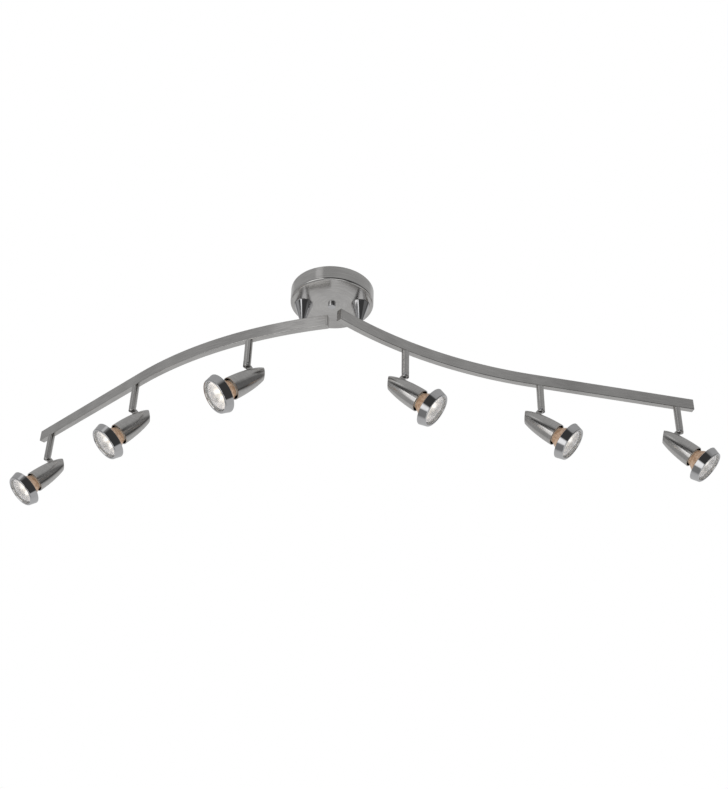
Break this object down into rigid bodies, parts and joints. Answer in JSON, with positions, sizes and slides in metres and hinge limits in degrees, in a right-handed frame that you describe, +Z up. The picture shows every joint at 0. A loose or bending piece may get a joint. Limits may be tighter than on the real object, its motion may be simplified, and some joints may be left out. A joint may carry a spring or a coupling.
{
  "type": "track lighting fixture",
  "caption": "Ceiling spotlight fixture: round canopy, cone stand-offs, curved swivelling arms of rectangular tube, and reflector lamps in bullet heads on short stems.",
  "frame": {"origin": "middle of the canopy at the ceiling face", "axes": "+Z up into the ceiling, +X along the span of the two arms, -Y towards the side that the heads are seen from"},
  "size_m": [1.1949, 0.4172, 0.2143],
  "materials": {
    "satin_nickel": "satin nickel plate, brushed",
    "bright_chrome": "polished chrome plate",
    "zinc_plate": "bright zinc plate",
    "white_ceramic": "glazed steatite ceramic",
    "lamp_glass": "coated reflector glass, amber tint from behind",
    "lens_glass": "clear cover glass"
  },
  "bodies": {
    "ceiling_mount": {"ceiling_crossbar": "zinc_plate", "center_stud": "zinc_plate", "canopy": "satin_nickel", "canopy_cap_nut": "bright_chrome", "cone_standoffs": "bright_chrome", "standoff_nuts": "zinc_plate", "pivot_studs": "zinc_plate", "pivot_nuts": "zinc_plate"},
    "left_arm": {"left_arm_tube": "satin_nickel", "left_arm_end_caps": "satin_nickel"},
    "right_arm": {"right_arm_tube": "satin_nickel", "right_arm_end_caps": "satin_nickel"},
    "left_outer_stem": {"left_outer_stem": "satin_nickel", "left_outer_stem_nut": "zinc_plate", "left_outer_tilt_screw": "bright_chrome"},
    "left_outer_head": {"left_outer_head_shell": "satin_nickel", "left_outer_lamp_holder": "white_ceramic", "left_outer_lamp": "lamp_glass", "left_outer_lamp_lens": "lens_glass", "left_outer_bezel": "bright_chrome"},
    "left_middle_stem": {"left_middle_stem": "satin_nickel", "left_middle_stem_nut": "zinc_plate", "left_middle_tilt_screw": "bright_chrome"},
    "left_middle_head": {"left_middle_head_shell": "satin_nickel", "left_middle_lamp_holder": "white_ceramic", "left_middle_lamp": "lamp_glass", "left_middle_lamp_lens": "lens_glass", "left_middle_bezel": "bright_chrome"},
    "left_inner_stem": {"left_inner_stem": "satin_nickel", "left_inner_stem_nut": "zinc_plate", "left_inner_tilt_screw": "bright_chrome"},
    "left_inner_head": {"left_inner_head_shell": "satin_nickel", "left_inner_lamp_holder": "white_ceramic", "left_inner_lamp": "lamp_glass", "left_inner_lamp_lens": "lens_glass", "left_inner_bezel": "bright_chrome"},
    "right_inner_stem": {"right_inner_stem": "satin_nickel", "right_inner_stem_nut": "zinc_plate", "right_inner_tilt_screw": "bright_chrome"},
    "right_inner_head": {"right_inner_head_shell": "satin_nickel", "right_inner_lamp_holder": "white_ceramic", "right_inner_lamp": "lamp_glass", "right_inner_lamp_lens": "lens_glass", "right_inner_bezel": "bright_chrome"},
    "right_middle_stem": {"right_middle_stem": "satin_nickel", "right_middle_stem_nut": "zinc_plate", "right_middle_tilt_screw": "bright_chrome"},
    "right_middle_head": {"right_middle_head_shell": "satin_nickel", "right_middle_lamp_holder": "white_ceramic", "right_middle_lamp": "lamp_glass", "right_middle_lamp_lens": "lens_glass", "right_middle_bezel": "bright_chrome"},
    "right_outer_stem": {"right_outer_stem": "satin_nickel", "right_outer_stem_nut": "zinc_plate", "right_outer_tilt_screw": "bright_chrome"},
    "right_outer_head": {"right_outer_head_shell": "satin_nickel", "right_outer_lamp_holder": "white_ceramic", "right_outer_lamp": "lamp_glass", "right_outer_lamp_lens": "lens_glass", "right_outer_bezel": "bright_chrome"}
  },
  "joints": [
    {"name": "left_arm_swivel", "type": "hinge", "parent": "ceiling_mount", "child": "left_arm", "pos_m": [-0.04445, 0, -0.056], "axis": [0, 0, 1], "range_deg": [-40, 79]},
    {"name": "right_arm_swivel", "type": "hinge", "parent": "ceiling_mount", "child": "right_arm", "pos_m": [0.04445, 0, -0.056], "axis": [0, 0, 1], "range_deg": [-96, 23]},
    {"name": "left_outer_swivel", "type": "hinge", "parent": "left_arm", "child": "left_outer_stem", "pos_m": [-0.50965, 0.32822, -0.076], "axis": [0, 0, 1], "range_deg": [-170, 170]},
    {"name": "left_middle_swivel", "type": "hinge", "parent": "left_arm", "child": "left_middle_stem", "pos_m": [-0.33066, 0.16387, -0.076], "axis": [0, 0, 1], "range_deg": [-170, 170]},
    {"name": "left_inner_swivel", "type": "hinge", "parent": "left_arm", "child": "left_inner_stem", "pos_m": [-0.12911, 0.03035, -0.076], "axis": [0, 0, 1], "range_deg": [-170, 170]},
    {"name": "right_inner_swivel", "type": "hinge", "parent": "right_arm", "child": "right_inner_stem", "pos_m": [0.1163, 0.05409, -0.076], "axis": [0, 0, 1], "range_deg": [-170, 170]},
    {"name": "right_middle_swivel", "type": "hinge", "parent": "right_arm", "child": "right_middle_stem", "pos_m": [0.33855, 0.14925, -0.076], "axis": [0, 0, 1], "range_deg": [-170, 170]},
    {"name": "right_outer_swivel", "type": "hinge", "parent": "right_arm", "child": "right_outer_stem", "pos_m": [0.57419, 0.20862, -0.076], "axis": [0, 0, 1], "range_deg": [-170, 170]},
    {"name": "left_outer_tilt", "type": "hinge", "parent": "left_outer_stem", "child": "left_outer_head", "pos_m": [-0.50965, 0.32822, -0.121], "axis": [0.3987, -0.9171, 0], "range_deg": [-49.5, 40.5]},
    {"name": "left_middle_tilt", "type": "hinge", "parent": "left_middle_stem", "child": "left_middle_head", "pos_m": [-0.33066, 0.16387, -0.121], "axis": [0.314, -0.9494, 0], "range_deg": [-48, 42]},
    {"name": "left_inner_tilt", "type": "hinge", "parent": "left_inner_stem", "child": "left_inner_head", "pos_m": [-0.12911, 0.03035, -0.121], "axis": [0.342, -0.9397, 0], "range_deg": [-40.8, 49.2]},
    {"name": "right_inner_tilt", "type": "hinge", "parent": "right_inner_stem", "child": "right_inner_head", "pos_m": [0.1163, 0.05409, -0.121], "axis": [0.1045, 0.9945, 0], "range_deg": [-38.4, 51.6]},
    {"name": "right_middle_tilt", "type": "hinge", "parent": "right_middle_stem", "child": "right_middle_head", "pos_m": [0.33855, 0.14925, -0.121], "axis": [0.1822, 0.9833, 0], "range_deg": [-40.6, 49.4]},
    {"name": "right_outer_tilt", "type": "hinge", "parent": "right_outer_stem", "child": "right_outer_head", "pos_m": [0.57419, 0.20862, -0.121], "axis": [0.1994, 0.9799, 0], "range_deg": [-46.8, 43.2]}
  ]
}
